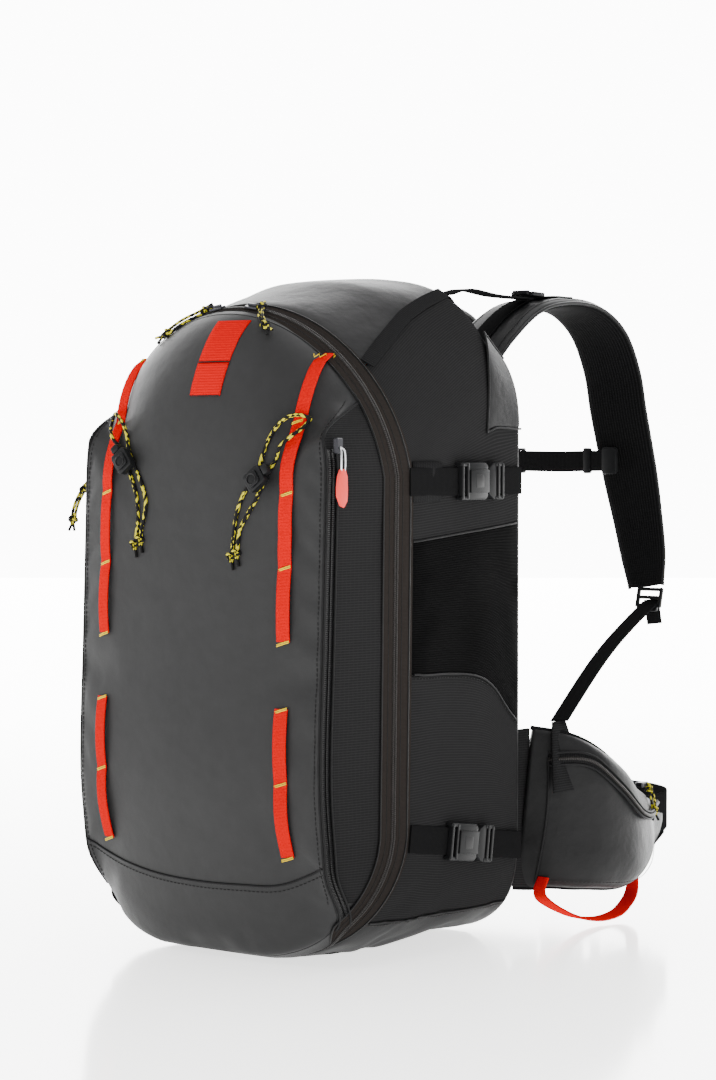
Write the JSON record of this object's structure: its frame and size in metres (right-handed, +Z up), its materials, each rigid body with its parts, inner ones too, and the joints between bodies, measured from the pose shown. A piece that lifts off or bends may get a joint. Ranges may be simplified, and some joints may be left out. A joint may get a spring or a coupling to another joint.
{
  "type": "avalanche airbag backpack",
  "caption": "Clamshell mountain pack with a folded airbag and gas cartridge, padded harness, hip belt, side compression buckles and red gear webbing on the front.",
  "frame": {"origin": "centre of the base patch, on the floor", "axes": "+Z up, +Y towards the wearer's back, +X towards the wearer's right"},
  "size_m": [0.381, 0.593, 0.584],
  "materials": {
    "coated_fabric": "smooth coated nylon with a soft sheen",
    "ripstop": "ripstop nylon, matt",
    "mesh_foam": "spacer mesh over foam, matt",
    "webbing": "woven webbing",
    "red_webbing": "woven webbing, bright red",
    "salmon_tab": "moulded pull tab",
    "buckle": "moulded acetal, satin",
    "cord": "braided cord, black with yellow flecks",
    "aluminium": "brushed",
    "steel": "satin",
    "frame_plastic": "pressed sheet",
    "airbag": "folded light nylon"
  },
  "bodies": {
    "pack": {"side_panel_right": "ripstop", "side_panel_left": "ripstop", "top_panel": "coated_fabric", "bottom_tub": "coated_fabric", "base_patch": "mesh_foam", "back_panel": "mesh_foam", "frame_sheet": "frame_plastic", "stay_right": "aluminium", "stay_left": "aluminium", "folded_airbag": "airbag", "inflator_head": "aluminium", "trigger_cable": "cord", "haul_loop": "webbing", "upper_strap_right": "webbing", "upper_strap_left": "webbing", "lower_strap_right": "webbing", "lower_strap_left": "webbing", "upper_buckle_female_right": "buckle", "upper_buckle_female_left": "buckle", "lower_buckle_female_right": "buckle", "lower_buckle_female_left": "buckle", "load_lifter_right": "webbing", "load_lifter_left": "webbing", "lower_webbing_right": "webbing", "lower_webbing_left": "webbing"},
    "cartridge": {"gas_cartridge": "steel"},
    "firing_pin": {"firing_pin": "steel"},
    "flap_right": {"burst_flap_right": "coated_fabric"},
    "flap_left": {"burst_flap_left": "coated_fabric"},
    "lid": {"front_shell": "coated_fabric", "upper_daisy_chain_right": "red_webbing", "upper_daisy_chain_left": "red_webbing", "lower_daisy_chain_right": "red_webbing", "lower_daisy_chain_left": "red_webbing", "accessory_cord_right": "cord", "accessory_cord_left": "cord", "cord_lock_right": "buckle", "cord_lock_left": "buckle"},
    "lock_button_right": {"cord_lock_button_right": "buckle"},
    "lock_button_left": {"cord_lock_button_left": "buckle"},
    "pocket_slider": {"pocket_slider": "steel"},
    "pocket_tab": {"pocket_pull_tab": "salmon_tab"},
    "zip_slider_right": {"main_slider_right": "steel"},
    "zip_slider_left": {"main_slider_left": "steel"},
    "strap_right": {"shoulder_strap_right": "mesh_foam"},
    "strap_left": {"shoulder_strap_left": "mesh_foam"},
    "sternum_right": {"sternum_strap_right": "webbing"},
    "sternum_left": {"sternum_strap_left": "webbing"},
    "sternum_clip": {"sternum_clip": "buckle"},
    "trigger": {"trigger_handle": "red_webbing"},
    "wing_right": {"hip_wing_right": "ripstop", "belt_buckle_male": "buckle", "gear_loop": "red_webbing"},
    "wing_left": {"hip_wing_left": "ripstop", "belt_buckle_female": "buckle"},
    "hip_pocket_slider": {"hip_pocket_slider": "steel"},
    "upper_male_right": {"upper_buckle_male_right": "buckle"},
    "upper_male_left": {"upper_buckle_male_left": "buckle"},
    "lower_male_right": {"lower_buckle_male_right": "buckle"},
    "lower_male_left": {"lower_buckle_male_left": "buckle"}
  },
  "joints": [
    {"name": "lid_open", "type": "hinge", "parent": "pack", "child": "lid", "pos_m": [0, -0.087, 0.0015], "axis": [1, 0, 0], "range_deg": [0, 60]},
    {"name": "lock_press_right", "type": "slide", "parent": "lid", "child": "lock_button_right", "axis": [-0.788, 0, -0.6157], "range_m": [0, 0.004], "stiffness_N_per_m": 800},
    {"name": "lock_press_left", "type": "slide", "parent": "lid", "child": "lock_button_left", "axis": [0.6428, 0, -0.766], "range_m": [0, 0.004], "stiffness_N_per_m": 800},
    {"name": "pocket_zip_slide", "type": "slide", "parent": "lid", "child": "pocket_slider", "axis": [0, 0, -1], "range_m": [0, 0.28]},
    {"name": "pocket_tab_swing", "type": "hinge", "parent": "pocket_slider", "child": "pocket_tab", "pos_m": [0.1445, -0.1, 0.431], "axis": [0, -1, 0], "range_deg": [0, 120]},
    {"name": "zip_run_right", "type": "hinge", "parent": "pack", "child": "zip_slider_right", "pos_m": [0, -0.0148, 0.4087], "axis": [0, 0.9751, 0.2215], "range_deg": [0, 50]},
    {"name": "zip_run_left", "type": "hinge", "parent": "pack", "child": "zip_slider_left", "pos_m": [0, -0.0148, 0.4087], "axis": [0, -0.9751, -0.2215], "range_deg": [0, 50]},
    {"name": "upper_clip_right", "type": "slide", "parent": "pack", "child": "upper_male_right", "axis": [0, 1, 0], "range_m": [0, 0.025]},
    {"name": "upper_clip_left", "type": "slide", "parent": "pack", "child": "upper_male_left", "axis": [0, 1, 0], "range_m": [0, 0.025]},
    {"name": "lower_clip_right", "type": "slide", "parent": "pack", "child": "lower_male_right", "axis": [0, 0.9899, -0.1414], "range_m": [0, 0.025]},
    {"name": "lower_clip_left", "type": "slide", "parent": "pack", "child": "lower_male_left", "axis": [0, 0.9899, -0.1414], "range_m": [0, 0.025]},
    {"name": "flap_burst_right", "type": "hinge", "parent": "pack", "child": "flap_right", "pos_m": [0.153, 0.146, 0.465], "axis": [0, 0, 1], "range_deg": [0, 100]},
    {"name": "flap_burst_left", "type": "hinge", "parent": "pack", "child": "flap_left", "pos_m": [-0.153, 0.146, 0.465], "axis": [0, 0, -1], "range_deg": [0, 100]},
    {"name": "strap_swing_right", "type": "hinge", "parent": "pack", "child": "strap_right", "pos_m": [0, 0.157, 0.48], "axis": [1, 0, 0], "range_deg": [-6, 25], "deforming": ["load_lifter_right", "lower_webbing_right"]},
    {"name": "strap_swing_left", "type": "hinge", "parent": "pack", "child": "strap_left", "pos_m": [0, 0.157, 0.48], "axis": [1, 0, 0], "range_deg": [-6, 25], "deforming": ["load_lifter_left", "lower_webbing_left", "trigger_cable"]},
    {"name": "sternum_height_right", "type": "slide", "parent": "strap_right", "child": "sternum_right", "axis": [0, -0.16, 0.9871], "range_m": [-0.03, 0.03]},
    {"name": "sternum_height_left", "type": "slide", "parent": "strap_left", "child": "sternum_left", "axis": [0, -0.16, 0.9871], "range_m": [-0.03, 0.03]},
    {"name": "sternum_clip_slide", "type": "slide", "parent": "sternum_right", "child": "sternum_clip", "axis": [1, 0, 0], "range_m": [0, 0.025]},
    {"name": "trigger_pull", "type": "slide", "parent": "strap_left", "child": "trigger", "axis": [-0.1114, 0.1519, -0.9821], "range_m": [0, 0.03]},
    {"name": "firing_pin_slide", "type": "slide", "parent": "pack", "child": "firing_pin", "axis": [1, 0, 0], "range_m": [0, 0.008]},
    {"name": "cartridge_screw", "type": "hinge", "parent": "pack", "child": "cartridge", "pos_m": [-0.095, 0.095, 0.16], "axis": [0, 0, 1], "continuous": true},
    {"name": "wing_fold_right", "type": "hinge", "parent": "pack", "child": "wing_right", "pos_m": [0.128, 0.18, 0.108], "axis": [0, 0, -1], "range_deg": [0, 35]},
    {"name": "wing_fold_left", "type": "hinge", "parent": "pack", "child": "wing_left", "pos_m": [-0.128, 0.18, 0.108], "axis": [0, 0, 1], "range_deg": [0, 35]},
    {"name": "hip_zip_slide", "type": "slide", "parent": "wing_right", "child": "hip_pocket_slider", "axis": [0, -0.898, 0.44], "range_m": [0, 0.03]}
  ],
  "couplings": [
    {"joint": "strap_swing_left", "follows": "strap_swing_right", "ratio": 1},
    {"joint": "sternum_height_left", "follows": "sternum_height_right", "ratio": 1},
    {"joint": "firing_pin_slide", "follows": "trigger_pull", "ratio": 0.26667}
  ]
}
